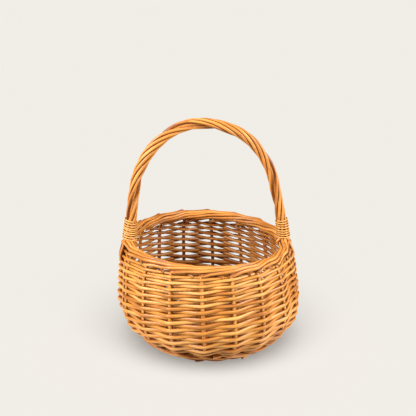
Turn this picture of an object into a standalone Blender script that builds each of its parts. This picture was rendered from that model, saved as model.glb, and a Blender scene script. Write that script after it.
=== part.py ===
"""Round willow egg basket with a roped hoop handle.

Metres, +Z up. The basket stands on Z = 0 and its handle is in the XZ plane. Every rod is one
closed solid: a tube swept along a centreline that a formula or a few hand-set points give.
Angles round the basket are counted in stake spaces, counter-clockwise seen from above.
"""

from math import acos, cos, exp, pi, radians, sin, sqrt

import bmesh
import bpy
from mathutils import Vector

# The weave
STAKE_COUNT = 18
SPACE = 2 * pi / STAKE_COUNT
STAKE_OFFSET = radians(-2.2)   # sets stake 0 and stake 9 beside the feet of the handle
GAP = 0.0003                   # left between rods that touch
BEND_ALLOWANCE = 0.925         # cosine of the angle at which a weaver leaves a stake
ROD_SIDES = 5

# The wall: radius and height of a stake's centreline, from its inner end up to the border
WALL_OUTLINE = (
    (0.0620, 0.0096),
    (0.0720, 0.0088),
    (0.0835, 0.0102),
    (0.0942, 0.0178),
    (0.1110, 0.0324),
    (0.1193, 0.0576),
    (0.1176, 0.0854),
    (0.1145, 0.1136),
    (0.1092, 0.1290),
)
STAKE_BUTT_RADIUS = 0.0027
STAKE_TOP_RADIUS = 0.0020
STAKE_TIP_RADIUS = 0.0014
STAKE_WALL_STEPS = 13

# The border: every stake's tail rolls round this ring, outside, over the top and down inside
RIM_RADIUS = 0.1045
RIM_HEIGHT = 0.1370
RIM_COIL = 0.0041
FOOT_SWELL = 0.0029            # the border opens by this much where the handle goes through
FOOT_SWELL_SPACES = 0.40
TAIL_START = radians(-47)      # measured from outward, up
TAIL_ROLL = radians(258)
TAIL_SPACES = 3.0
TAIL_STEPS = 11

# The wall weavers, one for each space, in French rand
FIRST_ROW = 0.0445             # distance along the wall outline where row 0 passes a stake
LAST_ROW = 25
ROW_RISE = 0.0054
ROW_RISE_LOSS = 0.0000352      # the rods taper, so each row rises less than the one below
WEAVER_SLACK = 0.0006

# The upsett: three waling rods, each outside two stakes and inside the third
WALE_COUNT = 3
WALE_RADIUS = 0.0020
WALE_SIDES = 6
WALE_FLAT = cos(pi / WALE_SIDES) * WALE_RADIUS
WALE_OUTSIDE_HIGH = (0.0875, 0.0064)
WALE_OUTSIDE_LOW = (0.0785, WALE_FLAT)
WALE_INSIDE = (0.0790, 0.0168)
WALE_FOOT_HALF = 0.0040        # half length of the level stretch that stands on the ground

# The base: five sticks crossed by four, opened out to the eighteen stakes
LOWER_STICKS = 5
UPPER_STICKS = 4
STICK_RADIUS = 0.0022
STICK_PITCH = 0.0056
STICK_REACH = 0.0690
STICK_SIDES = 6
SLATH_HALF = 0.0170            # where the sticks start to open out
STICK_TURN = radians(-7.6)     # sets each stick end beside a stake end
BASE_EDGE_HEIGHT = 0.0090
BASE_CROWN = 0.0030
BASE_WEAVER_COUNT = 2
BASE_WEAVER_RADIUS = 0.0013
BASE_WEAVER_SIDES = 4
BASE_WEAVE_START = 0.0320
BASE_WEAVE_END = 0.0735
BASE_ROUND_PITCH = 0.0075

# The handle: the bow's centreline in x and z, from the left foot in the border to the right foot
BOW_OUTLINE = (
    (-0.1045, 0.1370),
    (-0.1008, 0.1630),
    (-0.0968, 0.1900),
    (-0.0924, 0.2130),
    (-0.0852, 0.2370),
    (-0.0694, 0.2640),
    (-0.0459, 0.2865),
    (-0.0199, 0.2988),
    (0.0031, 0.3012),
    (0.0271, 0.2975),
    (0.0531, 0.2862),
    (0.0741, 0.2655),
    (0.0886, 0.2380),
    (0.0944, 0.2130),
    (0.0983, 0.1900),
    (0.1025, 0.1650),
    (0.1045, 0.1370),
)
CORE_RADIUS = 0.0026
CORE_SIDES = 6
CORE_STEPS = 40
CORE_FOOT_RADIUS = 0.0012
CORE_TIP_RADIUS = 0.0009
CORE_FOOT_INSET = 0.0012
CORE_FOOT_LEVELS = (0.1080, 0.1190, 0.1300, 0.1400, 0.1465)   # distances along the wall outline
CORE_THIN_UNTIL = 0.0070       # the bow is thinned up to here, to pass the border
CORE_FULL_FROM = 0.0180
STRAND_COUNT = 7
STRAND_RADIUS = 0.0020
STRAND_COIL = 0.0053
STRAND_TURNS = 19 / 7          # a whole number of strands, so both feet look alike
STRAND_STEPS = 34
STRAND_START = 0.0160          # distance up the bow where the strands close round it
STRAND_TIP_RADIUS = 0.0013
STRAND_SPLAY = 0.0075          # how far the strands open where they meet the border
STRAND_FAN = 0.0096            # how far they fan sideways
STRAND_OVER_BORDER = 0.0111    # their distance from the border's ring as they cross it
STRAND_BORDER_STEPS = 3
STRAND_WALL_LEVELS = (0.1450, 0.1350)   # distances along the wall outline
STRAND_OFF_WALL = 0.0084
BINDING_RADIUS = 0.0011
BINDING_TURNS = 6
BINDING_PITCH = 0.0032
BINDING_STEPS_PER_TURN = 9
BINDING_START = 0.0170

# The basket has settled by hand: it leans, and one side of its rim is lower
LEAN = 0.038
LEAN_LEVEL = 0.061
RIM_DROP = 0.034

# How curves are followed
CURVE_STEPS = 12               # steps between two points of a hand-set outline
NORMAL_REACH = 0.002           # an outline's normal is measured over this much each way
FIRST_SIDE = Vector((0.31, 0.47, 0.83))   # along no rod's start, so it sets every rod's first section

COLOURS = {
    "stake": (0.60, 0.30, 0.10),
    "weaver": (0.68, 0.36, 0.12),
    "wale": (0.55, 0.27, 0.09),
    "base": (0.50, 0.26, 0.10),
    "core": (0.52, 0.28, 0.11),
    "strand": (0.72, 0.42, 0.15),
    "binding": (0.76, 0.48, 0.20),
}
ROUGHNESS = 0.42


def clear_scene():
    for existing in list(bpy.data.objects):
        bpy.data.objects.remove(existing, do_unlink=True)


def willow(kind):
    name = kind + "_willow"
    material = bpy.data.materials.get(name)
    if material is None:
        material = bpy.data.materials.new(name)
        material.use_nodes = True
        shader = material.node_tree.nodes["Principled BSDF"]
        shader.inputs["Base Color"].default_value = (*COLOURS[kind], 1.0)
        shader.inputs["Roughness"].default_value = ROUGHNESS
        shader.inputs["Metallic"].default_value = 0.0
    return material


def mix(low, high, share):
    return low + (high - low) * share


def clamp(value):
    return min(max(value, 0.0), 1.0)


def around(angle, radius, height):
    return Vector((radius * cos(angle), radius * sin(angle), height))


def stake_angle(turn):
    return STAKE_OFFSET + turn * SPACE


def settle(point):
    """Lean and drop a point as the finished basket has settled."""
    share = clamp(point.z / RIM_HEIGHT)
    drop = RIM_DROP * point.x * share * share
    return Vector((point.x - LEAN * (point.z - LEAN_LEVEL), point.y, point.z - drop))


class Outline:
    """A smooth plane curve through hand-set points, read by distance along it."""

    def __init__(self, points):
        ends = [Vector(p) for p in points]
        ends = [2 * ends[0] - ends[1]] + ends + [2 * ends[-1] - ends[-2]]
        self.points = [ends[1]]
        for a, b, c, d in zip(ends, ends[1:], ends[2:], ends[3:]):
            for step in range(1, CURVE_STEPS + 1):
                t = step / CURVE_STEPS
                self.points.append(
                    0.5 * (2 * b + (c - a) * t + (2 * a - 5 * b + 4 * c - d) * t * t
                           + (3 * b - a - 3 * c + d) * t ** 3)
                )
        self.reach = [0.0]
        for a, b in zip(self.points, self.points[1:]):
            self.reach.append(self.reach[-1] + (b - a).length)
        self.length = self.reach[-1]

    def at(self, distance):
        for index in range(1, len(self.points)):
            if distance <= self.reach[index] or index == len(self.points) - 1:
                span = self.reach[index] - self.reach[index - 1]
                share = (distance - self.reach[index - 1]) / span
                return self.points[index - 1].lerp(self.points[index], share)

    def normal(self, distance):
        """The unit normal on the right of the direction of travel."""
        along = (self.at(distance + NORMAL_REACH) - self.at(distance - NORMAL_REACH)).normalized()
        return Vector((along.y, -along.x))


WALL = Outline(WALL_OUTLINE)
BOW = Outline(BOW_OUTLINE)


def sweep(name, kind, centres, radii, sides=ROD_SIDES, frames=None, closed=False):
    """Make one rod: a tube of the given radii along the centres, capped unless it is closed."""
    centres = [settle(point) for point in centres]
    count = len(centres)
    if frames is None:
        frames = carried_frames(centres)
    mesh = bmesh.new()
    rings = []
    for centre, radius, (side, up) in zip(centres, radii, frames):
        ring = []
        for corner in range(sides):
            angle = 2 * pi * (corner + 0.5) / sides
            ring.append(mesh.verts.new(centre + radius * (cos(angle) * side + sin(angle) * up)))
        rings.append(ring)
    for index in range(count if closed else count - 1):
        ring = rings[index]
        following = rings[(index + 1) % count]
        for corner in range(sides):
            after = (corner + 1) % sides
            mesh.faces.new((ring[corner], ring[after], following[after], following[corner]))
    if not closed:
        mesh.faces.new(list(reversed(rings[0])))
        mesh.faces.new(rings[-1])
    data = bpy.data.meshes.new(name)
    mesh.to_mesh(data)
    mesh.free()
    data.shade_smooth()
    data.materials.append(willow(kind))
    rod = bpy.data.objects.new(name, data)
    bpy.context.collection.objects.link(rod)
    return rod


def carried_frames(centres):
    """Carry one side direction along the centres without twisting it."""
    count = len(centres)
    frames = []
    side = FIRST_SIDE.copy()
    for index in range(count):
        along = centres[min(index + 1, count - 1)] - centres[max(index - 1, 0)]
        along.normalize()
        side = (side - along * side.dot(along)).normalized()
        frames.append((side, along.cross(side)))
    return frames


def level_frames(centres):
    """Frames that stay level, so that a rod laid round the basket keeps a flat underside."""
    up = Vector((0, 0, 1))
    return [(up, Vector((point.x, point.y, 0)).normalized()) for point in centres]


# --- stakes, weavers and upsett ---------------------------------------------------------

def stake_radius(distance):
    return mix(STAKE_BUTT_RADIUS, STAKE_TOP_RADIUS, clamp(distance / WALL.length))


def rim_point(turn, roll):
    """A point on the border's ring; roll 0 is outward and a quarter turn is up."""
    swell = 0.0
    for foot in (0, STAKE_COUNT // 2):
        foot_turn = foot - STAKE_OFFSET / SPACE
        away = (turn - foot_turn + STAKE_COUNT / 2) % STAKE_COUNT - STAKE_COUNT / 2
        swell += exp(-((away / FOOT_SWELL_SPACES) ** 2))
    coil = RIM_COIL + FOOT_SWELL * swell
    radius = RIM_RADIUS + coil * cos(roll)
    return around(stake_angle(turn), radius, RIM_HEIGHT + coil * sin(roll))


def make_stake(number):
    centres = []
    radii = []
    for step in range(STAKE_WALL_STEPS + 1):
        distance = WALL.length * step / STAKE_WALL_STEPS
        radius, height = WALL.at(distance)
        centres.append(around(stake_angle(number), radius, height))
        radii.append(stake_radius(distance))
    for step in range(TAIL_STEPS + 1):
        share = step / TAIL_STEPS
        centres.append(rim_point(number + TAIL_SPACES * share, TAIL_START + TAIL_ROLL * share))
        radii.append(mix(STAKE_TOP_RADIUS, STAKE_TIP_RADIUS, share))
    sweep(f"stake_{number + 1:02d}", "stake", centres, radii)


def row_distance(row):
    return FIRST_ROW + ROW_RISE * row - ROW_RISE_LOSS * row * row


def weaver_radius(row):
    rise = ROW_RISE - 2 * ROW_RISE_LOSS * row
    return (rise - WEAVER_SLACK) / 2 - GAP / 2


def make_weaver(number):
    """A weaver climbs one row for each stake it passes, outside one and inside the next."""
    centres = []
    radii = []
    for row in range(-1, LAST_ROW + 1):
        distance = row_distance(row)
        radius = weaver_radius(row)
        clear = (stake_radius(distance) + radius + GAP) / BEND_ALLOWANCE
        outward = clear if row % 2 == 0 else -clear
        place = WALL.at(distance) + outward * WALL.normal(distance)
        centres.append(around(stake_angle(number + row), *place))
        radii.append(radius)
    sweep(f"weaver_{number + 1:02d}", "weaver", centres, radii)


def make_wale_rod(number):
    centres = []
    for stake in range(STAKE_COUNT):
        stage = (stake - number) % WALE_COUNT
        if stage == 0:
            centres.append(around(stake_angle(stake), *WALE_INSIDE))
        elif stage == 1:
            centres.append(around(stake_angle(stake), *WALE_OUTSIDE_HIGH))
        else:
            half = WALE_FOOT_HALF / WALE_OUTSIDE_LOW[0]
            centres.append(around(stake_angle(stake) - half, *WALE_OUTSIDE_LOW))
            centres.append(around(stake_angle(stake) + half, *WALE_OUTSIDE_LOW))
    radii = [WALE_RADIUS] * len(centres)
    sweep(f"wale_rod_{number + 1}", "wale", centres, radii, WALE_SIDES, level_frames(centres), True)


# --- base -------------------------------------------------------------------------------

def slanted_clearance(clear, span):
    """How far off a rod must pass at its turns to keep clear while it slants across a span."""
    return clear / sqrt(1 - (2 * clear / span) ** 2)


def base_height(radius):
    return BASE_EDGE_HEIGHT + BASE_CROWN * (1 - (radius / STICK_REACH) ** 2)


def make_base_stick(name, index, count, direction, lift):
    """One stick of the slath: parallel to its group in the middle, opened out at both ends."""
    place = index - (count - 1) / 2
    along = Vector((cos(direction), sin(direction), 0))
    across = Vector((-sin(direction), cos(direction), 0))
    level = Vector((0, 0, base_height(0) + lift)) + place * STICK_PITCH * across
    middle = [level + reach * along for reach in (-SLATH_HALF, SLATH_HALF)]
    near_end = direction + pi - place * SPACE + STICK_TURN
    far_end = direction + place * SPACE + STICK_TURN
    opened = [[around(angle, reach, base_height(reach)) for reach in (BASE_WEAVE_START, STICK_REACH)]
              for angle in (near_end, far_end)]
    centres = opened[0][::-1] + middle + opened[1]
    sweep(name, "base", centres, [STICK_RADIUS] * len(centres), STICK_SIDES)


def make_base_weaver(number):
    """Chasing weavers: over one stick end and under the next, round and round outwards.

    Where a stake end lies beside the stick end, the weaver takes the two together.
    """
    centres = []
    rounds = (BASE_WEAVE_END - BASE_WEAVE_START) / BASE_ROUND_PITCH - 0.5
    stake_start = WALL_OUTLINE[0][0] - BASE_ROUND_PITCH / 2
    for step in range(int(rounds * STAKE_COUNT) + 1):
        radius = BASE_WEAVE_START + BASE_ROUND_PITCH * (step / STAKE_COUNT + number / 2)
        beside_stakes = radius > stake_start
        taken = STAKE_BUTT_RADIUS if beside_stakes else STICK_RADIUS
        clear = slanted_clearance(taken + BASE_WEAVER_RADIUS + 2 * GAP, radius * SPACE)
        height = base_height(radius) + (clear if (step + number) % 2 == 0 else -clear)
        centres.append(around(STICK_TURN + step * SPACE, radius, height))
        if beside_stakes:
            centres.append(around(stake_angle(step), radius, height))
    radii = [BASE_WEAVER_RADIUS] * len(centres)
    sweep(f"base_weaver_{number + 1}", "base", centres, radii, BASE_WEAVER_SIDES)


# --- handle -----------------------------------------------------------------------------

def bow_point(distance, coil=0.0, roll=0.0):
    """A point near the bow; roll 0 is outward and a quarter turn is towards -Y."""
    x, z = BOW.at(distance)
    out = -BOW.normal(distance)
    return Vector((x + coil * cos(roll) * out.x, -coil * sin(roll), z + coil * cos(roll) * out.y))


def make_handle_core():
    feet = [WALL.at(distance) - Vector((CORE_FOOT_INSET, 0)) for distance in CORE_FOOT_LEVELS]
    foot_radii = [CORE_TIP_RADIUS] + [CORE_FOOT_RADIUS] * (len(feet) - 1)
    centres = [Vector((-place.x, 0, place.y)) for place in feet]
    radii = list(foot_radii)
    for step in range(CORE_STEPS + 1):
        distance = BOW.length * step / CORE_STEPS
        from_foot = min(distance, BOW.length - distance)
        share = clamp((from_foot - CORE_THIN_UNTIL) / (CORE_FULL_FROM - CORE_THIN_UNTIL))
        centres.append(bow_point(distance))
        radii.append(mix(CORE_FOOT_RADIUS, CORE_RADIUS, share))
    centres += [Vector((place.x, 0, place.y)) for place in reversed(feet)]
    radii += reversed(foot_radii)
    sweep("handle_core", "core", centres, radii, CORE_SIDES)


def strand_end(roll, side):
    """A strand's splayed end: over the border and down its outer or its inner face."""
    face = 1 if cos(roll) > 0 else -1
    sideways = -STRAND_FAN * sin(roll)
    first = acos(abs(STRAND_SPLAY * cos(roll)) / STRAND_OVER_BORDER)
    centres = []
    for step in range(STRAND_BORDER_STEPS + 1):
        angle = first * (1 - step / STRAND_BORDER_STEPS)
        share = step / STRAND_BORDER_STEPS
        across = mix(-STRAND_SPLAY * sin(roll), sideways, share)
        radius = RIM_RADIUS + face * STRAND_OVER_BORDER * cos(angle)
        height = RIM_HEIGHT + STRAND_OVER_BORDER * sin(angle)
        centres.append(Vector((side * radius, across, height)))
    for distance in STRAND_WALL_LEVELS:
        place = WALL.at(distance) + face * STRAND_OFF_WALL * WALL.normal(distance)
        centres.append(Vector((side * place.x, sideways, place.y)))
    return centres


def make_handle_strand(number):
    centres = []
    start_roll = 2 * pi * number / STRAND_COUNT
    for step in range(STRAND_STEPS + 1):
        share = step / STRAND_STEPS
        distance = mix(STRAND_START, BOW.length - STRAND_START, share)
        roll = start_roll + 2 * pi * STRAND_TURNS * share
        centres.append(bow_point(distance, STRAND_COIL, roll))
    left_end = strand_end(start_roll, -1)
    right_end = strand_end(start_roll + 2 * pi * STRAND_TURNS, 1)
    radii = [STRAND_RADIUS] * len(centres)
    thinning = [mix(STRAND_RADIUS, STRAND_TIP_RADIUS, (index + 1) / len(left_end))
                for index in range(len(left_end))]
    centres = left_end[::-1] + centres + right_end
    radii = thinning[::-1] + radii + thinning
    sweep(f"handle_strand_{number + 1}", "strand", centres, radii)


def make_handle_binding(name, mirrored):
    centres = []
    clear = STRAND_COIL + STRAND_RADIUS + 2 * GAP + BINDING_RADIUS
    coil = clear / cos(pi / BINDING_STEPS_PER_TURN)
    steps = BINDING_TURNS * BINDING_STEPS_PER_TURN
    for step in range(steps + 1):
        turns = step / BINDING_STEPS_PER_TURN
        distance = BINDING_START + BINDING_PITCH * turns
        if mirrored:
            distance = BOW.length - distance
        centres.append(bow_point(distance, coil, 2 * pi * turns))
    sweep(name, "binding", centres, [BINDING_RADIUS] * len(centres))


def main():
    clear_scene()
    for number in range(STAKE_COUNT):
        make_stake(number)
    for number in range(STAKE_COUNT):
        make_weaver(number)
    for number in range(WALE_COUNT):
        make_wale_rod(number)
    for index in range(LOWER_STICKS):
        make_base_stick(f"base_stick_lower_{index + 1}", index, LOWER_STICKS, 0.0, -STICK_RADIUS - GAP)
    for index in range(UPPER_STICKS):
        make_base_stick(f"base_stick_upper_{index + 1}", index, UPPER_STICKS, pi / 2, STICK_RADIUS + GAP)
    for number in range(BASE_WEAVER_COUNT):
        make_base_weaver(number)
    make_handle_core()
    for number in range(STRAND_COUNT):
        make_handle_strand(number)
    make_handle_binding("handle_binding_left", False)
    make_handle_binding("handle_binding_right", True)


main()
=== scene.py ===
from math import acos, cos, pi, radians, sin

import bpy
import numpy as np
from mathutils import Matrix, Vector


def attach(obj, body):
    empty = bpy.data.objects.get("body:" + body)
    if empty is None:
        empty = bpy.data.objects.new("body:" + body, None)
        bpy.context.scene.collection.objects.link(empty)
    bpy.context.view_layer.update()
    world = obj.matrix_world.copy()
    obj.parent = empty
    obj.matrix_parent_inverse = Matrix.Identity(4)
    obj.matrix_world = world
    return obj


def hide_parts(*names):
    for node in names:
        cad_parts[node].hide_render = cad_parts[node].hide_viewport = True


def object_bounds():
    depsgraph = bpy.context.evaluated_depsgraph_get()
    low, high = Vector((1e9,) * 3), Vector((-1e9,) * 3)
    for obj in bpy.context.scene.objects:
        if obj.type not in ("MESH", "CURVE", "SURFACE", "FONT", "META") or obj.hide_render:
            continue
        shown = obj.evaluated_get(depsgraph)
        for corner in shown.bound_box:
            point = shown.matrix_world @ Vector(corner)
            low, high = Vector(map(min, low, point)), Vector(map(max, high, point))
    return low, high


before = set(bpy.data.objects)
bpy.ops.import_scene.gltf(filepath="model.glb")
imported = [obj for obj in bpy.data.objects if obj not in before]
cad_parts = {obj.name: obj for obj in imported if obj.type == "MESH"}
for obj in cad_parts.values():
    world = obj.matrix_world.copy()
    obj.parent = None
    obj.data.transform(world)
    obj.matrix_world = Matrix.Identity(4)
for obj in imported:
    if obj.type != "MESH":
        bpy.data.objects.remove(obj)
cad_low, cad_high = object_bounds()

# One millimetre of the design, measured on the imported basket's width across the handle.
MM = (cad_high.y - cad_low.y) / 250.2

# --- the weave's layout, in millimetres; turns round the basket are counted in stakes ---------
STAKE_COUNT = 18
SPACE = 2 * pi / STAKE_COUNT
STAKE_OFFSET = radians(-2.2)  # sets the first and tenth stakes beside the feet of the handle

# How the finished basket has settled
LEAN = 0.038                 # it leans to -X by this share of the height above LEAN_LEVEL
LEAN_LEVEL = 61.0
RIM_DROP = 0.034             # the rim slopes down towards +X
BACK_RISE = 0.030            # the back of the rim has been pulled up by this share of its depth
SWING_EVEN = 2.85            # degrees by which the front and back stakes have been pushed round
SWING_BACK = 0.65
SWING_START = 8.0            # the swing grows from this height over this rise
SWING_RISE = 30.0

# Radius and height of the stakes, from their inner ends beside the base sticks to the border
WALL_OUTLINE = (
    (62.0, 9.6),
    (72.0, 8.8),
    (83.5, 10.2),
    (94.2, 17.8),
    (111.0, 32.4),
    (119.3, 57.6),
    (117.6, 85.4),
    (114.5, 113.6),
    (109.2, 129.0),
)
RIM_RADIUS = 104.5
RIM_HEIGHT = 137.0
# X and height of the handle's bow, from its foot at -X to its foot at +X
BOW_OUTLINE = (
    (-104.5, 137.0),
    (-100.8, 163.0),
    (-96.8, 190.0),
    (-92.4, 213.0),
    (-85.2, 237.0),
    (-69.4, 264.0),
    (-45.9, 286.5),
    (-19.9, 298.8),
    (3.1, 301.2),
    (27.1, 297.5),
    (53.1, 286.2),
    (74.1, 265.5),
    (88.6, 238.0),
    (94.4, 213.0),
    (98.3, 190.0),
    (102.5, 165.0),
    (104.5, 137.0),
)

# --- rods, in millimetres -----------------------------------------------------------------
STAKE_BUTT_RADIUS = 2.7
STAKE_TOP_RADIUS = 2.35
STAKE_TIP_RADIUS = 1.85
STAKE_PROUD = 0.7            # how far stakes stand out from the middle of the weave
STAKE_SHADED = 0.25          # stakes get little of the painted crevice shade on their sides
PAINTED_INSIDE_SHADE = 0.37           # painted shade on the inside of the wall: sides turned away from the crown are darkened

FIRST_ROW = 44.5             # distance up the wall's outline
LAST_ROW = 25
ROW_RISE = 5.4               # the rows get closer together as the weavers grow thinner
ROW_RISE_LOSS = 0.0352
BUTT_FILL = 1.26             # how much of its row a weaver fills, at its butt and at its tip
TIP_FILL = 1.00
FILL_FADE = 0.8
BUTT_PRESS = 0.44            # how far a weaver stands off a stake: thick butts are pressed in
TIP_PRESS = 0.84
PRESS_FADE = 0.7
BACK_FILL = -0.02            # at the back the rods bow further and leave holes beside the stakes
BACK_PRESS = 0.42
INSIDE_SHARE = 0.50          # the share of its reach inwards that a weaver keeps at front and sides
WEAVER_FLAT = 0.24           # beating down presses the weavers flatter than round
WEAVER_STEPS = 14            # sections from one stake to the next
CHORD_SHARE = 0.90           # how straight a weaver runs between stakes
WAVE_SHARP = 0.09            # how straight it runs in and out between them
ROW_JITTER = 0.28
DEPTH_JITTER = 0.20


def seed_number(part):
    """A number from a name or a number, the same in every run."""
    if isinstance(part, int):
        return part
    return sum((index + 1) * ord(letter) for index, letter in enumerate(part))


def rng(*key):
    """A random generator of its own for each key of names and numbers."""
    return np.random.default_rng([seed_number(part) for part in key])


def mix(low, high, share):
    return low + (high - low) * share


def clamp(value):
    return min(max(value, 0.0), 1.0)


def stake_angle(turn):
    return STAKE_OFFSET + turn * SPACE


def around(angle, radius, height):
    return np.array((radius * cos(angle), radius * sin(angle), height))


def swing(points):
    """Turn points about the basket's axis by the stakes' swing, which is nothing at the handle."""
    radius = np.hypot(points[:, 0], points[:, 1])
    sine = points[:, 1] / np.maximum(radius, 1.0)
    share = np.clip((points[:, 2] - SWING_START) / SWING_RISE, 0, 1)
    angle = np.radians(SWING_EVEN * sine ** 2 + SWING_BACK * sine) * share
    turned = points.copy()
    turned[:, 0] = points[:, 0] * np.cos(angle) - points[:, 1] * np.sin(angle)
    turned[:, 1] = points[:, 0] * np.sin(angle) + points[:, 1] * np.cos(angle)
    return turned


def settle(points):
    """Swing, lean and drop points, in millimetres, as the finished basket has settled."""
    points = swing(np.array(points, float))
    share = np.clip(points[:, 2] / RIM_HEIGHT, 0, 1)
    moved = points.copy()
    moved[:, 0] -= LEAN * (points[:, 2] - LEAN_LEVEL)
    moved[:, 2] -= RIM_DROP * points[:, 0] * share ** 2
    moved[:, 2] += BACK_RISE * np.maximum(points[:, 1], 0) * share ** 2
    return moved


def smooth(points, per_span):
    """A Catmull-Rom curve through points, with per_span steps from each point to the next."""
    points = np.array(points, float)
    ends = np.vstack([2 * points[0] - points[1], points, 2 * points[-1] - points[-2]])
    t = np.arange(per_span)[:, None] / per_span
    spans = []
    for a, b, c, d in zip(ends, ends[1:], ends[2:], ends[3:]):
        spans.append(0.5 * (2 * b + (c - a) * t + (2 * a - 5 * b + 4 * c - d) * t ** 2
                            + (3 * b - a - 3 * c + d) * t ** 3))
    return np.vstack(spans + [points[-1:]])


OUTLINE_STEPS = 16
NORMAL_REACH = 2.0           # an outline's direction is measured over this distance either way


class Outline:
    """A smooth plane curve through given points, read by distance along it."""

    def __init__(self, points):
        self.points = smooth(points, OUTLINE_STEPS)
        steps = np.linalg.norm(np.diff(self.points, axis=0), axis=1)
        self.reach = np.concatenate([[0.0], np.cumsum(steps)])
        self.length = self.reach[-1]

    def at(self, distance):
        """The point at a distance along the curve, which goes on straight past its ends."""
        index = int(np.clip(np.searchsorted(self.reach, distance), 1, len(self.reach) - 1))
        share = (distance - self.reach[index - 1]) / (self.reach[index] - self.reach[index - 1])
        return mix(self.points[index - 1], self.points[index], share)

    def normal(self, distance):
        """The unit normal on the right of the direction of travel."""
        along = self.at(distance + NORMAL_REACH) - self.at(distance - NORMAL_REACH)
        along = along / np.linalg.norm(along)
        return np.array((along[1], -along[0]))


WALL = Outline(WALL_OUTLINE)
BOW = Outline(BOW_OUTLINE)


# --- materials ----------------------------------------------------------------------------

class Nodes:
    """Short forms for adding and linking shader nodes."""

    def __init__(self, material):
        material.use_nodes = True
        self.tree = material.node_tree
        self.shader = self.tree.nodes["Principled BSDF"]

    def add(self, kind, **values):
        node = self.tree.nodes.new(kind)
        for name, value in values.items():
            setattr(node, name, value)
        return node

    def link(self, source, target):
        self.tree.links.new(source, target)

    def attribute(self, name):
        return self.add("ShaderNodeAttribute", attribute_name=name)

    def stretched(self, source, scale):
        node = self.add("ShaderNodeVectorMath", operation="MULTIPLY")
        self.link(source, node.inputs[0])
        node.inputs[1].default_value = scale
        return node.outputs[0]

    def noise(self, vector, detail, roughness=0.5):
        node = self.add("ShaderNodeTexNoise")
        self.link(vector, node.inputs["Vector"])
        node.inputs["Scale"].default_value = 1.0
        node.inputs["Detail"].default_value = detail
        node.inputs["Roughness"].default_value = roughness
        return node.outputs["Fac"]

    def math(self, operation, first, second):
        node = self.add("ShaderNodeMath", operation=operation)
        for socket, value in zip(node.inputs, (first, second)):
            if isinstance(value, (int, float)):
                socket.default_value = value
            else:
                self.link(value, socket)
        return node.outputs[0]

    def ramp(self, source, stops):
        node = self.add("ShaderNodeValToRGB")
        elements = node.color_ramp.elements
        while len(elements) < len(stops):
            elements.new(0.5)
        for element, (place, colour) in zip(elements, stops):
            element.position = place
            element.color = (*colour, 1.0)
        self.link(source, node.inputs["Fac"])
        return node.outputs["Color"]

    def blend(self, factor, first, second, mode="MIX"):
        node = self.add("ShaderNodeMix", data_type="RGBA", blend_type=mode)
        sockets = (node.inputs["Factor"], node.inputs[6], node.inputs[7])   # factor and colours A, B
        for socket, value in zip(sockets, (factor, first, second)):
            if isinstance(value, (int, float)):
                socket.default_value = value
            elif isinstance(value, tuple):
                socket.default_value = (*value, 1.0)
            else:
                self.link(value, socket)
        return node.outputs[2]

    def bump(self, height, strength, distance, normal=None):
        node = self.add("ShaderNodeBump")
        node.inputs["Strength"].default_value = strength
        node.inputs["Distance"].default_value = distance
        self.link(height, node.inputs["Height"])
        if normal is not None:
            self.link(normal, node.inputs["Normal"])
        return node.outputs["Normal"]


KNOT_BROWN = (0.20, 0.055, 0.012)
KNOT_SHARE = 0.6
PAINTED_CREVICE_SHADE = (0.27, 0.12, 0.06)   # painted shade: darkens the sides of rods that face other rods, and the inside of the wall
# Noise scales across and along the fibres, per metre
GRAIN_SCALE = (2600.0, 2600.0, 70.0)
STREAK_SCALE = (700.0, 700.0, 22.0)
PATCH_SCALE = (90.0, 90.0, 30.0)
SPECK_SCALE = (420.0, 420.0, 160.0)
# How much each of them, and each rod's own tone, moves the colour between dark and light
GRAIN_SHARE = 0.20
STREAK_SHARE = 0.45
PATCH_SHARE = 0.35
TONE_SHARE = 0.24
DARK_LEVEL = 0.30
MIDDLE_LEVEL = 0.50
LIGHT_LEVEL = 0.72
SPECK_LEVEL = 0.735          # noise above this is a speck
SPECK_SHARE = 0.45
GLOSS_CHANGE = 0.16          # how much the roughness changes from patch to patch
COAT_WEIGHT = 0.16


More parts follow.
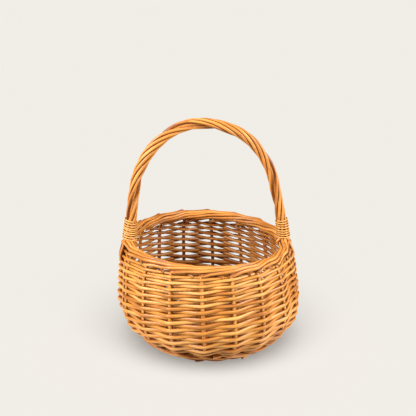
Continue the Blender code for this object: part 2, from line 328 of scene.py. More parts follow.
def willow(name, dark, middle, light, cut, roughness=0.40):
    """Varnished buff willow: fibres run along the rod, and every rod has its own tone."""
    material = bpy.data.materials.new(name)
    nodes = Nodes(material)
    fibre = nodes.attribute("fibre").outputs["Vector"]
    tone = nodes.attribute("tone").outputs["Fac"]
    cut_face = nodes.attribute("cut").outputs["Fac"]
    crown = nodes.attribute("crown").outputs["Fac"]
    knot = nodes.attribute("knot").outputs["Fac"]
    grain = nodes.noise(nodes.stretched(fibre, GRAIN_SCALE), 3.0, 0.6)
    streak = nodes.noise(nodes.stretched(fibre, STREAK_SCALE), 2.0)
    patch = nodes.noise(nodes.stretched(fibre, PATCH_SCALE), 2.0)
    speck = nodes.noise(nodes.stretched(fibre, SPECK_SCALE), 1.0)
    level = nodes.math("MULTIPLY", streak, STREAK_SHARE)
    level = nodes.math("ADD", level, nodes.math("MULTIPLY", grain, GRAIN_SHARE))
    level = nodes.math("ADD", level, nodes.math("MULTIPLY", patch, PATCH_SHARE))
    own_tone = nodes.math("MULTIPLY", nodes.math("SUBTRACT", tone, 0.5), TONE_SHARE)
    level = nodes.math("ADD", level, own_tone)
    colour = nodes.ramp(level, ((DARK_LEVEL, dark), (MIDDLE_LEVEL, middle), (LIGHT_LEVEL, light)))
    speckled = nodes.math("GREATER_THAN", speck, SPECK_LEVEL)
    colour = nodes.blend(nodes.math("MULTIPLY", speckled, SPECK_SHARE), colour, dark, "MULTIPLY")
    colour = nodes.blend(nodes.math("MULTIPLY", knot, KNOT_SHARE), colour, KNOT_BROWN)
    # Painted shade: the colour is darkened where the crown attribute is below 1, on sides that face
    # other rods or the inside of the wall.
    colour = nodes.blend(nodes.math("SUBTRACT", 1.0, crown), colour, PAINTED_CREVICE_SHADE, "MULTIPLY")
    colour = nodes.blend(cut_face, colour, cut)
    nodes.link(colour, nodes.shader.inputs["Base Color"])
    gloss = nodes.math("ADD", nodes.math("MULTIPLY", patch, GLOSS_CHANGE), roughness - GLOSS_CHANGE / 2)
    nodes.link(gloss, nodes.shader.inputs["Roughness"])
    nodes.shader.inputs["Coat Weight"].default_value = COAT_WEIGHT
    nodes.shader.inputs["Coat Roughness"].default_value = 0.22
    nodes.shader.inputs["Specular IOR Level"].default_value = 0.30
    normal = nodes.bump(grain, 0.25, 0.00012)
    normal = nodes.bump(streak, 0.35, 0.00030, normal)
    nodes.link(normal, nodes.shader.inputs["Normal"])
    return material


WILLOW_CUT = (0.62, 0.36, 0.13)
BUTT_CUT = (0.16, 0.035, 0.008)
MATERIALS = {
    "stake_willow": willow("buff_willow_stakes", (0.35, 0.108, 0.016), (0.60, 0.235, 0.042),
                           (0.78, 0.395, 0.115), WILLOW_CUT),
    "weaver_willow": willow("buff_willow_weavers", (0.33, 0.100, 0.013), (0.59, 0.230, 0.034),
                            (0.78, 0.405, 0.118), WILLOW_CUT),
    "wale_willow": willow("buff_willow_wale", (0.33, 0.095, 0.014), (0.56, 0.205, 0.036),
                          (0.72, 0.335, 0.080), BUTT_CUT),
    "base_willow": willow("buff_willow_base", (0.36, 0.12, 0.018), (0.58, 0.235, 0.045),
                          (0.74, 0.37, 0.095), WILLOW_CUT),
    "handle_core_willow": willow("buff_willow_bow", (0.24, 0.075, 0.011), (0.42, 0.155, 0.028),
                                 (0.58, 0.26, 0.06), WILLOW_CUT),
    "handle_strand_willow": willow("buff_willow_roping", (0.37, 0.118, 0.018), (0.64, 0.258, 0.048),
                                   (0.80, 0.41, 0.115), WILLOW_CUT),
    "binding_skein": willow("willow_skein", (0.43, 0.165, 0.030), (0.67, 0.31, 0.072),
                            (0.82, 0.47, 0.15), WILLOW_CUT, roughness=0.32),
}


# --- rods ---------------------------------------------------------------------------------

def carried_frames(centres):
    """Two unit vectors across each section, carried along the rod without twisting."""
    along = np.gradient(centres, axis=0)
    along /= np.linalg.norm(along, axis=1)[:, None]
    side = np.array((0.31, 0.47, 0.83))
    sides = np.empty_like(centres)
    for index, direction in enumerate(along):
        side = side - direction * np.dot(side, direction)
        side = side / np.linalg.norm(side)
        sides[index] = side
    return sides, np.cross(along, sides), along


KNOT_SPACING = 55.0
KNOT_LENGTH = 2.2
KNOT_HEIGHT = 0.14
CREVICE_START = 0.12         # a side that faces the air by this cosine or less gets the full painted shade, and one that faces it by this or more gets none
CREVICE_END = 0.66           # and one that faces it by this or more is clean
UNEVEN_SPACING = 14.0
LOBE_HEIGHT = 0.035
TRIMMED_EDGE = 0.90          # a cut end is bevelled to this share of the rod's radius
TRIMMED_REACH = 0.16
CUT_REACH = 0.20


def uneven(generator, reach, size, spacing):
    """Smooth random variation along a rod, as natural thickness has."""
    count = max(int(reach[-1] / spacing) + 3, 4)
    values = generator.normal(0.0, size, count)
    return np.interp(reach, np.linspace(0, reach[-1], count), values)


def knots(generator, reach, angles):
    """Bud scars: low one-sided swellings, as a share of their full height, for each section."""
    bumps = np.zeros((len(reach), len(angles)))
    for _ in range(int(reach[-1] / KNOT_SPACING)):
        place = generator.uniform(0, reach[-1])
        facing = generator.uniform(0, 2 * pi)
        along = np.exp(-(((reach - place) / KNOT_LENGTH) ** 2))
        across = np.clip(np.cos(angles - facing), 0, 1) ** 2
        bumps += generator.uniform(0.4, 1.0) * along[:, None] * across[None, :]
    return bumps


def closed_frames(centres):
    """Two unit vectors across each section of a closed ring, the second nearly upright."""
    along = np.roll(centres, -1, axis=0) - np.roll(centres, 1, axis=0)
    along /= np.linalg.norm(along, axis=1)[:, None]
    side = np.cross(np.array((0, 0, 1.0)), along)
    side /= np.linalg.norm(side, axis=1)[:, None]
    return side, np.cross(along, side), along


def side_faces(count, sides, closed):
    """The faces between the rings of a rod; a closed rod's last ring joins its first."""
    faces = []
    for index in range(count if closed else count - 1):
        following = (index + 1) % count
        for corner in range(sides):
            after = (corner + 1) % sides
            faces.append((index * sides + corner, index * sides + after,
                          following * sides + after, following * sides + corner))
    return faces


def end_faces(ring, start, sides, direction):
    """The bevel and the cut face on the ring that begins at one vertex, with new points at start."""
    faces = []
    for corner in range(sides):
        after = (corner + 1) % sides
        band = (ring + corner, ring + after, start + after, start + corner)
        tip = (start + corner, start + after, start + sides)
        faces.append(band if direction > 0 else band[::-1])
        faces.append(tip if direction > 0 else tip[::-1])
    return faces


def add_attribute(mesh, name, kind, values):
    layer = mesh.attributes.new(name, kind, "POINT")
    field = "vector" if kind == "FLOAT_VECTOR" else "value"
    layer.data.foreach_set(field, np.asarray(values, np.float32).ravel())


def add_piece(name, slot, node, points, faces, attributes):
    """Make a mesh object on the body, in its material, in place of its CAD node if it has one."""
    mesh = bpy.data.meshes.new(name)
    mesh.from_pydata(points * MM, [], faces)
    for label, kind, values in attributes:
        add_attribute(mesh, label, kind, values)
    mesh.shade_smooth()
    mesh.materials.append(MATERIALS[slot])
    piece = bpy.data.objects.new(name, mesh)
    bpy.context.collection.objects.link(piece)
    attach(piece, "root")
    if node:
        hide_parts(node)


def painted_shade_factor(outward, shaded, painted_inside_shade):
    """How much of its colour a side of a rod keeps under the painted shade: 1 on the sides that face
    the air, and less on those that face rods or the inside.
    """
    openness = np.clip((np.abs(outward) - CREVICE_START) / (CREVICE_END - CREVICE_START), 0, 1)
    unshaded = 1 - np.broadcast_to(shaded, len(outward))[:, None] * (1 - openness)
    turned_in = np.broadcast_to(painted_inside_shade, len(outward))[:, None] * np.clip(-2 * outward, 0, 1)
    return np.clip(unshaded - turned_in, 0, 1)


def rod(name, slot, node, centres, radii, crowns, sides=12, rough=0.035, closed=False, flat=0.0,
        shaded=1.0, painted_inside_shade=0.0):
    """One willow rod, swept along centres (millimetres), with trimmed ends and fibre coordinates.

    crowns holds for each centre the direction that is open to the air; the sides of the rod that
    face across it lie against other rods and get painted shade, by shaded, which may differ along it.
    flat is the share by which the rod is thinner in the direction of its crown, and the last argument
    paints shade on the sides turned away from the crown.
    """
    generator = rng(name)
    centres = settle(centres)
    count = len(centres)
    steps = np.linalg.norm(np.diff(centres, axis=0), axis=1)
    reach = np.concatenate([[0.0], np.cumsum(steps)])
    radii = np.asarray(radii, float) * (1 + uneven(generator, reach, rough, UNEVEN_SPACING))
    side, up, along = closed_frames(centres) if closed else carried_frames(centres)
    angles = 2 * pi * (np.arange(sides) + 0.5) / sides
    lobes = 1 + LOBE_HEIGHT * np.cos(2 * angles + generator.uniform(0, 2 * pi))
    bumps = knots(generator, reach, angles)
    swell = lobes[None, :] * (1 + KNOT_HEIGHT * bumps)
    faced = (np.cos(angles)[None, :, None] * side[:, None, :]
             + np.sin(angles)[None, :, None] * up[:, None, :])
    crowns = np.array(crowns, float)
    crowns /= np.linalg.norm(crowns, axis=1)[:, None]
    outward = np.einsum("csk,ck->cs", faced, crowns)
    offsets = radii[:, None, None] * swell[:, :, None] * faced
    thinner = (flat * radii[:, None] * swell * outward)[:, :, None] * crowns[:, None, :]
    rings = centres[:, None, :] + offsets - thinner
    # Painted shade: crown holds how much of its colour each side keeps, less where it faces other rods
    # or the inside of the wall.
    crown = painted_shade_factor(outward, shaded, painted_inside_shade)

    fibre = np.empty((count, sides, 3))
    fibre[:, :, 0] = radii[:, None] * np.cos(angles)
    fibre[:, :, 1] = radii[:, None] * np.sin(angles)
    fibre[:, :, 2] = reach[:, None]
    points = [rings.reshape(-1, 3)]
    fibres = [fibre.reshape(-1, 3)]
    cuts = [np.zeros(count * sides)]
    faces = side_faces(count, sides, closed)
    if not closed:
        start = count * sides
        for end, direction in ((0, -1), (count - 1, 1)):
            bevelled = centres[end] + TRIMMED_EDGE * (rings[end] - centres[end])
            edge = bevelled + direction * TRIMMED_REACH * along[end]
            middle = centres[end] + direction * CUT_REACH * along[end]
            points += [edge, middle[None, :]]
            fibres += [fibre[end], fibre[end].mean(0)[None, :]]
            cuts += [np.ones(sides), np.ones(1)]
            faces += end_faces(end * sides, start, sides, direction)
            start += sides + 1

    points = np.vstack(points)
    on_ends = len(points) - count * sides
    shift = np.array((0, 0, generator.uniform(0, 500)))
    add_piece(name, slot, node, points, faces, (
        ("fibre", "FLOAT_VECTOR", (np.vstack(fibres) + shift) * 0.001),
        ("cut", "FLOAT", np.concatenate(cuts)),
        ("crown", "FLOAT", np.append(crown.ravel(), np.ones(on_ends))),
        ("knot", "FLOAT", np.append(bumps.ravel(), np.zeros(on_ends))),
        ("tone", "FLOAT", np.full(len(points), generator.uniform())),
    ))


def ring_crowns(centres, radius, height):
    """Directions away from a ring round the basket."""
    centres = np.asarray(centres)
    flat = centres * (1, 1, 0)
    nearest = flat * (radius / np.linalg.norm(flat, axis=1))[:, None] + np.array((0, 0, height))
    return centres - nearest


def wall_crowns(centres):
    """Directions straight out of the wall, nearest to each centre."""
    crowns = []
    for centre in np.asarray(centres):
        radius = np.hypot(centre[0], centre[1])
        nearest = np.argmin(np.hypot(WALL.points[:, 0] - radius, WALL.points[:, 1] - centre[2]))
        out, rise = WALL.normal(WALL.reach[nearest])
        crowns.append((centre[0] / radius * out, centre[1] / radius * out, rise))
    return np.array(crowns)


# --- stakes and border --------------------------------------------------------------------

def stake_radius(distance):
    return mix(STAKE_BUTT_RADIUS, STAKE_TOP_RADIUS, clamp(distance / WALL.length))


BORDER_COIL = 4.4
FOOT_SWELL = 1.2             # the border is fuller round the feet of the handle
FOOT_SWELL_SPACES = 0.40
BORDER_TWIST = radians(35)   # the roll leans in at the back and out at the front
# How a stake's tail rolls round the border: spaces travelled, roll in degrees, extra distance
TAIL_ROLL = (
    (-0.02, -34, 0.3),
    (0.01, -12, 1.9),
    (0.08, 3, 3.3),
    (0.30, 14, 1.7),
    (0.65, 24, 0.5),
    (1.00, 40, 0.5),
    (1.50, 62, 0.1),
    (2.00, 85, 0.3),
    (2.50, 108, 0.0),
    (3.00, 130, 0.0),
    (3.50, 153, 0.0),
    (4.00, 177, 0.0),
    (4.50, 202, 0.0),
    (5.00, 230, 0.0),
    (5.25, 252, 0.2),
    (5.45, 280, 1.0),
    (5.60, 302, 2.6),
    (5.72, 312, 4.8),
)
TAIL_LENGTH = 5.72
TAIL_STRAIGHTENS = 0.5       # over this many spaces at its end a tail leaves the leaning roll
ROLL_JITTER = 4.5            # degrees
STAKE_WANDER = 0.012         # spaces
STAKE_POINTS = 12            # points up the wall, with STAKE_STEPS sections between
STAKE_STEPS = 6


def rim_point(turn, roll, extra, twist):
    """A point of the rolled border: roll 0 is outward, and a quarter turn is up."""
    swell = 0.0
    for foot in (0, STAKE_COUNT // 2):
        foot_turn = foot - STAKE_OFFSET / SPACE
        away = (turn - foot_turn + STAKE_COUNT / 2) % STAKE_COUNT - STAKE_COUNT / 2
        swell += np.exp(-((away / FOOT_SWELL_SPACES) ** 2))
    coil = BORDER_COIL + FOOT_SWELL * swell + extra
    roll = roll + twist * sin(stake_angle(turn))
    radius = RIM_RADIUS * chord(turn) + coil * cos(roll)
    return around(stake_angle(turn), radius, RIM_HEIGHT + coil * sin(roll))


def make_stake(number):
    generator = rng("stake", number)
    wander = generator.normal(0, STAKE_WANDER, 4)
    points = []
    radii = []
    for step in range(STAKE_POINTS):
        share = step / (STAKE_POINTS - 1)
        distance = WALL.length * share
        proud = STAKE_PROUD * sin(pi * share)
        radius, height = WALL.at(distance) + proud * WALL.normal(distance)
        turn = number + wander[0] * sin(pi * share) + wander[1] * sin(2 * pi * share)
        points.append(around(stake_angle(turn), radius, height))
        radii.append(stake_radius(distance))
    for spaces, roll, extra in TAIL_ROLL:
        twist = BORDER_TWIST * clamp((TAIL_LENGTH - spaces) / TAIL_STRAIGHTENS)
        roll += generator.normal(0, ROLL_JITTER)
        points.append(rim_point(number + spaces, radians(roll), extra, twist))
        radii.append(mix(STAKE_TOP_RADIUS, STAKE_TIP_RADIUS, clamp(spaces / TAIL_LENGTH)))
    centres = smooth(points, STAKE_STEPS)
    crowns = wall_crowns(centres)
    tail = STAKE_POINTS * STAKE_STEPS
    crowns[tail:] = ring_crowns(centres[tail:], RIM_RADIUS, RIM_HEIGHT)
    in_wall = np.arange(len(centres)) < tail
    shaded = np.where(in_wall, STAKE_SHADED, 1.0)
    name = f"willow_stake_{number + 1:02d}"
    rod(name, "stake_willow", f"stake_{number + 1:02d}", centres,
        smooth(np.array(radii)[:, None], STAKE_STEPS)[:, 0], crowns, shaded=shaded,
        painted_inside_shade=PAINTED_INSIDE_SHADE * in_wall)


# --- wall weavers -------------------------------------------------------------------------

def row_distance(row):
    return FIRST_ROW + ROW_RISE * row - ROW_RISE_LOSS * row * row


def weaver_radius(row, back):
    fill = mix(BUTT_FILL, TIP_FILL, clamp(row / LAST_ROW) ** FILL_FADE) + BACK_FILL * back
    return fill * (ROW_RISE - 2 * ROW_RISE_LOSS * row) / 2


def chord(turn):
    """How far a straight run between two stakes lies inside the circle, as a factor."""
    away = (turn % 1.0) - 0.5
    straight = cos(SPACE / 2) / cos(away * SPACE)
    return 1 - CHORD_SHARE * (1 - straight)


def weave_wave(row):
    """1 outside a stake, -1 inside the next, and nearly straight between."""
    return (cos(pi * row) + WAVE_SHARP * cos(3 * pi * row)) / (1 + WAVE_SHARP)


def make_weaver(number):
    generator = rng("weaver", number)
    rows = LAST_ROW + 3
    rise_jitter = generator.normal(0, ROW_JITTER, rows)
    depth_jitter = generator.normal(0, DEPTH_JITTER, rows)
    stations = np.arange(rows) - 1.0
    samples = np.arange(-1.0, LAST_ROW + 1e-6, 1.0 / WEAVER_STEPS)
    centres = []
    radii = []
    for row in samples:
        distance = row_distance(row) + np.interp(row, stations, rise_jitter)
        back = clamp(sin(stake_angle(number + row)))
        radius = weaver_radius(row, back)
        press = mix(BUTT_PRESS, TIP_PRESS, clamp(row / LAST_ROW) ** PRESS_FADE) + BACK_PRESS * back
        reach = press * (stake_radius(distance) + radius) + np.interp(row, stations, depth_jitter)
        wave = weave_wave(row)
        if wave < 0:
            wave *= mix(INSIDE_SHARE, 1.0, back)
        place = WALL.at(distance) + reach * wave * WALL.normal(distance)
        centres.append(around(stake_angle(number + row), place[0] * chord(number + row), place[1]))
        radii.append(radius)
    rod(f"willow_weaver_{number + 1:02d}", "weaver_willow", f"weaver_{number + 1:02d}", centres, radii,
        wall_crowns(centres), flat=WEAVER_FLAT, painted_inside_shade=PAINTED_INSIDE_SHADE)


# --- upsett: the waling and the butts at the foot of the wall -------------------------------

WALE_COUNT = 3
# Where the rods of each waling round pass a stake: inside it, outside it high, outside it low
WALE_ROUNDS = (
    {"places": ((80.0, 15.2), (87.4, 7.2), (79.6, 2.4)), "radius": 2.3, "first": 0},
    {"places": ((90.6, 21.0), (97.6, 14.4), (92.4, 10.4)), "radius": 2.4, "first": 1},
)
WALE_JITTER = 0.4
WALE_STEPS = 10
WALE_ABOVE_FLOOR = 1.05      # a rod's centre stays this many radii above the floor


def make_wale_rod(number, lap):
    """One rod of a waling round: outside two stakes, inside the third."""
    generator = rng("wale", number, lap)
    layout = WALE_ROUNDS[lap]
    size = layout["radius"]
    points = []
    for stake in range(STAKE_COUNT):
        radius, height = layout["places"][(stake - number - layout["first"]) % WALE_COUNT]
        radius += generator.normal(0, WALE_JITTER)
        points.append(around(stake_angle(stake), radius, height))
    overlapping = smooth(points[-1:] + points + points[:2], WALE_STEPS)
    centres = overlapping[WALE_STEPS:WALE_STEPS * (STAKE_COUNT + 1)]
    centres[:, 2] = np.maximum(centres[:, 2], size * WALE_ABOVE_FLOOR)
    node = f"wale_rod_{number + 1}" if lap == 0 else None
    rod(f"willow_wale_{lap * WALE_COUNT + number + 1}", "wale_willow", node, centres,
        np.full(len(centres), size), wall_crowns(centres), rough=0.0, closed=True)


# Thick butts that stick out of the upsett at the front: degrees round, radius, height
BUTTS = (
    (250.0, 86.0, 2.9),
    (265.0, 100.5, 15.5),
    (290.0, 92.0, 6.5),
)
BUTT_RADIUS = 2.6
BUTT_LENGTH = 20.0
BUTT_SECTIONS = 8
BUTT_TUCK = 7.0              # how far in its hidden end lies
BUTT_TUCK_RISE = 0.5


def make_butt(number, degrees, radius, height):
    """A short thick end that comes out of the wall, its cut face towards -X."""
    centres = []
    for share in np.linspace(0, 1, BUTT_SECTIONS):
        angle = radians(degrees) + share * BUTT_LENGTH / radius
        tuck = BUTT_TUCK * share ** 1.5
        centres.append(around(angle, radius - tuck, height + BUTT_TUCK_RISE * tuck))
    rod(f"willow_butt_{number}", "wale_willow", None, centres, np.full(len(centres), BUTT_RADIUS),
        wall_crowns(centres))


# --- base ---------------------------------------------------------------------------------

BASE_RADIUS = 69.0
BASE_EDGE_HEIGHT = 9.0
BASE_CROWN = 3.0             # the base is domed, so that it stands on its edge
SLATH_LOWER = 5              # sticks in the lower and in the upper layer of the cross
SLATH_UPPER = 4
STICK_RADIUS = 2.3
STICK_PITCH = 5.4
STICK_REACH = 70.0
SLATH_HALF = 16.0            # the sticks lie parallel to here, and spread from SLATH_OPEN
SLATH_OPEN = 27.0
STICK_BEND = 48.0
STICK_STEPS = 6
STICK_TURN = radians(-7.6)
BASE_WEAVER_COUNT = 2
BASE_WEAVER_RADIUS = 1.5
BASE_WEAVER_STEP = 0.25      # spaces from one section to the next
BASE_WEAVE_START = 20.0
BASE_WEAVE_END = 76.0
BASE_ROUND_PITCH = 6.2
BESIDE_STICKS = 0.13         # spaces from a stick's end to the middle of the stick and its stake
BESIDE_START = 60.0          # stakes lie beside the sticks from here out
BESIDE_REACH = 4.0
FOOT_WEAVE_START = 76.5      # more rounds close the corner between the base and the wall
FOOT_WEAVE_END = 92.5


def base_height(radius):
    return BASE_EDGE_HEIGHT + BASE_CROWN * (1 - (radius / BASE_RADIUS) ** 2)


def make_base_stick(name, index, count, direction, lift):
    """A stick of the slath: one of count side by side, whose ends are spread to even spaces."""
    place = index - (count - 1) / 2
    along = np.array((cos(direction), sin(direction), 0))
    across = np.array((-sin(direction), cos(direction), 0)) * place * STICK_PITCH
    level = np.array((0, 0, base_height(0) + lift))
    middle = [level + across + reach * along for reach in (-SLATH_HALF, 0.0, SLATH_HALF)]
    ends = []
    for angle in (direction + pi - place * SPACE + STICK_TURN, direction + place * SPACE + STICK_TURN):
        ends.append([around(angle, reach, base_height(reach))
                     for reach in (SLATH_OPEN, STICK_BEND, STICK_REACH)])
    centres = smooth(ends[0][::-1] + middle + ends[1], STICK_STEPS)
    rod("willow_" + name, "base_willow", name, centres, np.full(len(centres), STICK_RADIUS),
        np.tile((0, 0, 1.0), (len(centres), 1)))


def corner_height(radius):
    """The level of the base or, past its edge, of the foot of the wall."""
    if radius < WALL_OUTLINE[1][0]:
        return base_height(radius)
    foot = np.array(WALL_OUTLINE[1:4])
    return float(np.interp(radius, foot[:, 0], foot[:, 1]))


def make_flat_weaver(name, node, number, start, end, first_angle):
    """One of a pair of weavers that go round and outwards, over and under sticks and then stakes."""
    centres = []
    rounds = (end - start) / BASE_ROUND_PITCH - 0.5
    for step in np.arange(0, rounds * STAKE_COUNT, BASE_WEAVER_STEP):
        radius = start + BASE_ROUND_PITCH * (step / STAKE_COUNT + number / BASE_WEAVER_COUNT)
        reach = STICK_RADIUS + BASE_WEAVER_RADIUS
        height = corner_height(radius) + reach * cos(pi * (step + number))
        beside_stakes = clamp((radius - BESIDE_START) / BESIDE_REACH)
        angle = first_angle + (step + BESIDE_STICKS * beside_stakes) * SPACE
        centres.append(around(angle, radius, height))
    rod(name, "base_willow", node, centres, np.full(len(centres), BASE_WEAVER_RADIUS),
        np.tile((0, 0, 1.0), (len(centres), 1)), sides=8)


# --- handle -------------------------------------------------------------------------------

CORE_RADIUS = 3.0
CORE_FOOT_RADIUS = 2.0       # the core is thinned towards its feet, over this much of its length
CORE_TAPER = 20.0
CORE_SECTIONS = 60
CORE_STEPS = 2
# Inside the wall, each foot of the core: X, height, radius
CORE_FEET = (
    (112.6, 108.0, 1.4),
    (108.2, 124.0, 1.8),
)
STRAND_COUNT = 7
STRAND_RADIUS = 2.2
STRAND_COIL = 5.1
STRAND_TURNS = 19 / 7
STRAND_SECTIONS = 90
STRAND_STEPS = 3
STRAIGHT_SHARE = 0.04        # the strands run straight at either end before they begin to turn
FLARE_LENGTH = 30.0          # they open by FLARE over this length above the border
FLARE = 2.0
FLARE_CURVE = 1.5
STRAND_START = 9.0
STRAND_OVER_OUTSIDE = 5.4
STRAND_OVER_INSIDE = 7.0
STRAND_CROSSING = 1.8        # strands that cross others pass this much further out
STRAND_FAN = 9.6             # how far they spread to either side
CROSS_OUTSIDE = -0.7         # side strands cross over outside the basket, and close up inside it
CROSS_INSIDE = 0.6
STRAND_TIP_RADIUS = 1.8
OVER_STEPS = 3               # steps over the border
# Below the border: distance up the wall's outline, off it, and share of the spread that is left
STRAND_TUCK = (
    (148.0, 4.6, 0.8),
    (141.0, 2.4, 0.5),
    (135.0, 0.4, 0.3),
)


def bow_point(distance, coil=0.0, roll=0.0):
    """A point near the bow; roll 0 is outward and a quarter turn is towards -Y."""
    x, z = BOW.at(distance)
    out = -BOW.normal(distance)
    return np.array((x + coil * cos(roll) * out[0], -coil * sin(roll), z + coil * cos(roll) * out[1]))


def flare(distance):
    """How much the strands open near a foot of the handle."""
    from_foot = min(distance, BOW.length - distance)
    return FLARE * clamp(1 - from_foot / FLARE_LENGTH) ** FLARE_CURVE


def make_handle_core():
    points = [(-x, 0, z) for x, z, _ in CORE_FEET]
    radii = [radius for _, _, radius in CORE_FEET]
    for distance in np.linspace(0, BOW.length, CORE_SECTIONS):
        points.append(bow_point(distance))
        from_foot = min(distance, BOW.length - distance)
        radii.append(mix(CORE_FOOT_RADIUS, CORE_RADIUS, clamp(from_foot / CORE_TAPER)))
    points += [(x, 0, z) for x, z, _ in CORE_FEET[::-1]]
    radii += [radius for _, _, radius in CORE_FEET[::-1]]
    centres = smooth(points, CORE_STEPS)
    rod("willow_bow", "handle_core_willow", "handle_core", centres,
        smooth(np.array(radii)[:, None], CORE_STEPS)[:, 0], np.tile((0, 1.0, 0), (len(centres), 1)))


SPINE_POINTS = 200


def bow_crowns(centres):
    """Directions away from the nearest point of the bow."""
    spine = np.array([bow_point(distance) for distance in np.linspace(0, BOW.length, SPINE_POINTS)])
    crowns = []
    for centre in np.asarray(centres):
        nearest = spine[np.argmin(np.linalg.norm(spine - centre, axis=1))]
        crowns.append(centre - nearest)
    return crowns


def strand_end(roll, side, coil):
    """A strand's tucked end: over the border and down into the wall, on its outer or inner face."""
    face = 1 if cos(roll) > 0 else -1
    over = STRAND_OVER_OUTSIDE if face > 0 else STRAND_OVER_INSIDE
    sideways = -STRAND_FAN * sin(roll)
    crossing = abs(sin(roll)) > 0.5
    if crossing:
        over += STRAND_CROSSING
        sideways = (CROSS_OUTSIDE if face > 0 else CROSS_INSIDE) * sideways
    first = acos(clamp(abs(coil * cos(roll)) / over))
    centres = []
    for step in range(OVER_STEPS + 1):
        angle = first * (1 - step / OVER_STEPS)
        across = mix(-coil * sin(roll), sideways, (step / OVER_STEPS) ** 1.4)
        centres.append(np.array((side * (RIM_RADIUS + face * over * cos(angle)), across,
                                 RIM_HEIGHT + over * sin(angle))))
    for distance, off, share in STRAND_TUCK:
        place = WALL.at(distance) + face * off * WALL.normal(distance)
        centres.append(np.array((side * place[0], sideways * share, place[1])))
    return centres


def make_handle_strand(number):
    start_roll = 2 * pi * number / STRAND_COUNT
    end_roll = start_roll + 2 * pi * STRAND_TURNS
    middle = []
    for share in np.linspace(0, 1, STRAND_SECTIONS):
        distance = mix(STRAND_START, BOW.length - STRAND_START, share)
        turned = clamp((share - STRAIGHT_SHARE) / (1 - 2 * STRAIGHT_SHARE))
        roll = mix(start_roll, end_roll, turned)
        middle.append(bow_point(distance, STRAND_COIL + flare(distance), roll))
    coil = STRAND_COIL + flare(STRAND_START)
    left = strand_end(start_roll, -1, coil)
    right = strand_end(end_roll, 1, coil)
    points = left[::-1] + middle + right
    radii = np.full(len(points), STRAND_RADIUS)
    count = len(left)
    radii[:count] = np.linspace(STRAND_TIP_RADIUS, STRAND_RADIUS, count)
    radii[-count:] = radii[:count][::-1]  # both ends are thinned alike
    centres = smooth(points, STRAND_STEPS)
    rod(f"willow_roping_{number + 1}", "handle_strand_willow", f"handle_strand_{number + 1}",
        centres, smooth(radii[:, None], STRAND_STEPS)[:, 0], bow_crowns(centres))


# Each binding lies between two distances from its foot; loose is how unevenly it is wound
BINDINGS = {
    "left": {"turns": 8.3, "first": 7.0, "last": 33.0, "loose": 0.9},
    "right": {"turns": 7.4, "first": 8.0, "last": 33.0, "loose": 0.5},
}
SKEIN_RADIUS = 1.05
SKEIN_GAP = 0.6
SKEIN_TILT = 1.4
SKEIN_SECTIONS = 28          # sections in a turn


def make_binding(side, turns, first, last, loose):
    generator = rng("binding", side)
    wobble = generator.normal(0, 0.5 * loose, int(turns) + 3)
    centres = []
    for turn in np.arange(0, turns, 1 / SKEIN_SECTIONS):
        distance = mix(first, last, turn / turns) + np.interp(turn, np.arange(len(wobble)), wobble)
        coil = STRAND_COIL + flare(distance) + STRAND_RADIUS + SKEIN_GAP
        along = distance + SKEIN_TILT * loose * cos(2 * pi * turn + 0.8)
        if side == "right":
            along = BOW.length - along
        centres.append(bow_point(along, coil, 2 * pi * turn))
    rod(f"willow_binding_{side}", "binding_skein", f"handle_binding_{side}", centres,
        np.full(len(centres), SKEIN_RADIUS), bow_crowns(centres), sides=10, rough=0.05)


# --- stage --------------------------------------------------------------------------------

# The stage is in metres. Azimuth 0 looks from -Y, and a positive one from further round to +X.
CAMERA_AZIMUTH = radians(-6.5)
CAMERA_ELEVATION = radians(23.2)
CAMERA_DISTANCE = 1.40
CAMERA_LENS = 88.3
TARGET_RIGHT = 0.0023
TARGET_HEIGHT = 0.070
AIM_ABOVE = 0.1094           # the photo leaves more room above the basket, so it is aimed there
AIM_LEFT = 0.0039


def make_camera():
    back = Vector((sin(CAMERA_AZIMUTH) * cos(CAMERA_ELEVATION),
                   -cos(CAMERA_AZIMUTH) * cos(CAMERA_ELEVATION), sin(CAMERA_ELEVATION)))
    right = Vector((cos(CAMERA_AZIMUTH), sin(CAMERA_AZIMUTH), 0))
    up = back.cross(right)
    target = Vector((TARGET_RIGHT, 0, TARGET_HEIGHT))
    aim = target + AIM_ABOVE * up - AIM_LEFT * right
    data = bpy.data.cameras.new("camera")
    data.lens = CAMERA_LENS
    data.sensor_width = 36.0
    camera = bpy.data.objects.new("camera", data)
    camera.location = target + CAMERA_DISTANCE * back
    camera.rotation_mode = "QUATERNION"
    camera.rotation_quaternion = (aim - camera.location).to_track_quat("-Z", "Y")
    bpy.context.collection.objects.link(camera)
    bpy.context.scene.camera = camera


FLOOR_REACH = 14.0
FLOOR_COLOUR = (0.152, 0.149, 0.141)   # dark, so that the willow's colour doesn't bounce off it
FLOOR_GLOW = 0.36                      # and lit up to the pale ground by its glow and its own light
FLOOR_GLOW_COLOUR = (1.0, 0.96, 0.90)
FLOOR_SUN = 11.1
FLOOR_SUN_ANGLE = radians(62)
FLOOR_SUN_ELEVATION = radians(68)
WORLD_COLOUR = (1.0, 0.97, 0.93)
WORLD_STRENGTH = 0.13


def make_floor():
    mesh = bpy.data.meshes.new("floor")
    corners = [(x * FLOOR_REACH, y * FLOOR_REACH, 0) for x, y in ((-1, -1), (1, -1), (1, 1), (-1, 1))]
    mesh.from_pydata(corners, [], [(0, 1, 2, 3)])
    material = bpy.data.materials.new("pale_floor")
    material.use_nodes = True
    shader = material.node_tree.nodes["Principled BSDF"]
    shader.inputs["Base Color"].default_value = (*FLOOR_COLOUR, 1.0)
    shader.inputs["Roughness"].default_value = 1.0
    shader.inputs["Specular IOR Level"].default_value = 0.0
    shader.inputs["Emission Color"].default_value = (*FLOOR_GLOW_COLOUR, 1.0)
    shader.inputs["Emission Strength"].default_value = FLOOR_GLOW
    mesh.materials.append(material)
    floor = bpy.data.objects.new("floor", mesh)
    bpy.context.collection.objects.link(floor)
    return floor


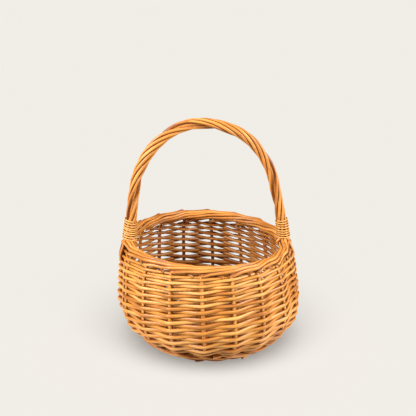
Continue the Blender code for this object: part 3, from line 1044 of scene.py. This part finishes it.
LIGHTS_HEIGHT = 0.12         # the lights face this height above the middle of the base
LIGHTS = (
    # name, azimuth from the camera, elevation, distance, size, power
    ("softbox_left", -60, 30, 1.5, 0.7, 36.0),
    ("softbox_right", 68, 26, 1.5, 0.7, 31.0),
    ("softbox_top", 5, 72, 1.6, 1.0, 14.0),
)


def aim_light(light, azimuth, elevation, centre, distance):
    """Put a light at a distance from centre, facing it; azimuth 0 is straight in front (-Y)."""
    back = Vector((sin(azimuth) * cos(elevation), -cos(azimuth) * cos(elevation), sin(elevation)))
    light.location = centre + distance * back
    light.rotation_mode = "QUATERNION"
    light.rotation_quaternion = (-back).to_track_quat("-Z", "Y")


def make_floor_light(floor):
    """A wide light from above the camera on the floor alone: it gives the soft contact shadow."""
    data = bpy.data.lights.new("floor_light", "SUN")
    data.energy = FLOOR_SUN
    data.angle = FLOOR_SUN_ANGLE
    light = bpy.data.objects.new("floor_light", data)
    only_floor = bpy.data.collections.new("only_the_floor")
    only_floor.objects.link(floor)
    light.light_linking.receiver_collection = only_floor
    aim_light(light, CAMERA_AZIMUTH, FLOOR_SUN_ELEVATION, Vector((0, 0, 0)), 2.0)
    bpy.context.collection.objects.link(light)


def make_lights(floor):
    """Two large softboxes and a top light on the basket, a light on the floor, and a dim studio."""
    unlit = bpy.data.collections.new("floor_without_softboxes")
    unlit.objects.link(floor)
    unlit.collection_objects[0].light_linking.link_state = "EXCLUDE"
    centre = Vector((0, 0, LIGHTS_HEIGHT))
    for name, azimuth, elevation, distance, size, power in LIGHTS:
        data = bpy.data.lights.new(name, "AREA")
        data.shape = "DISK"
        data.size = size
        data.energy = power
        light = bpy.data.objects.new(name, data)
        aim_light(light, CAMERA_AZIMUTH + radians(azimuth), radians(elevation), centre, distance)
        light.light_linking.receiver_collection = unlit
        bpy.context.collection.objects.link(light)
    make_floor_light(floor)
    world = bpy.data.worlds.new("studio")
    world.use_nodes = True
    background = world.node_tree.nodes["Background"]
    background.inputs["Color"].default_value = (*WORLD_COLOUR, 1.0)
    background.inputs["Strength"].default_value = WORLD_STRENGTH
    bpy.context.scene.world = world
    bpy.context.scene.view_settings.view_transform = "Standard"


def main():
    make_camera()
    make_lights(make_floor())
    for number in range(STAKE_COUNT):
        make_stake(number)
    for number in range(STAKE_COUNT):
        make_weaver(number)
    for lap in range(len(WALE_ROUNDS)):
        for number in range(WALE_COUNT):
            make_wale_rod(number, lap)
    for number, (degrees, radius, height) in enumerate(BUTTS, 1):
        make_butt(number, degrees, radius, height)
    for index in range(SLATH_LOWER):
        make_base_stick(f"base_stick_lower_{index + 1}", index, SLATH_LOWER, 0.0, -STICK_RADIUS)
    for index in range(SLATH_UPPER):
        make_base_stick(f"base_stick_upper_{index + 1}", index, SLATH_UPPER, pi / 2, STICK_RADIUS)
    for number in range(BASE_WEAVER_COUNT):
        make_flat_weaver(f"willow_base_weaver_{number + 1}", f"base_weaver_{number + 1}", number,
                         BASE_WEAVE_START, BASE_WEAVE_END, STICK_TURN)
        make_flat_weaver(f"willow_foot_weaver_{number + 1}", None, number,
                         FOOT_WEAVE_START, FOOT_WEAVE_END, STAKE_OFFSET - BESIDE_STICKS * SPACE)
    make_handle_core()
    for number in range(STRAND_COUNT):
        make_handle_strand(number)
    for side, binding in BINDINGS.items():
        make_binding(side, **binding)


main()
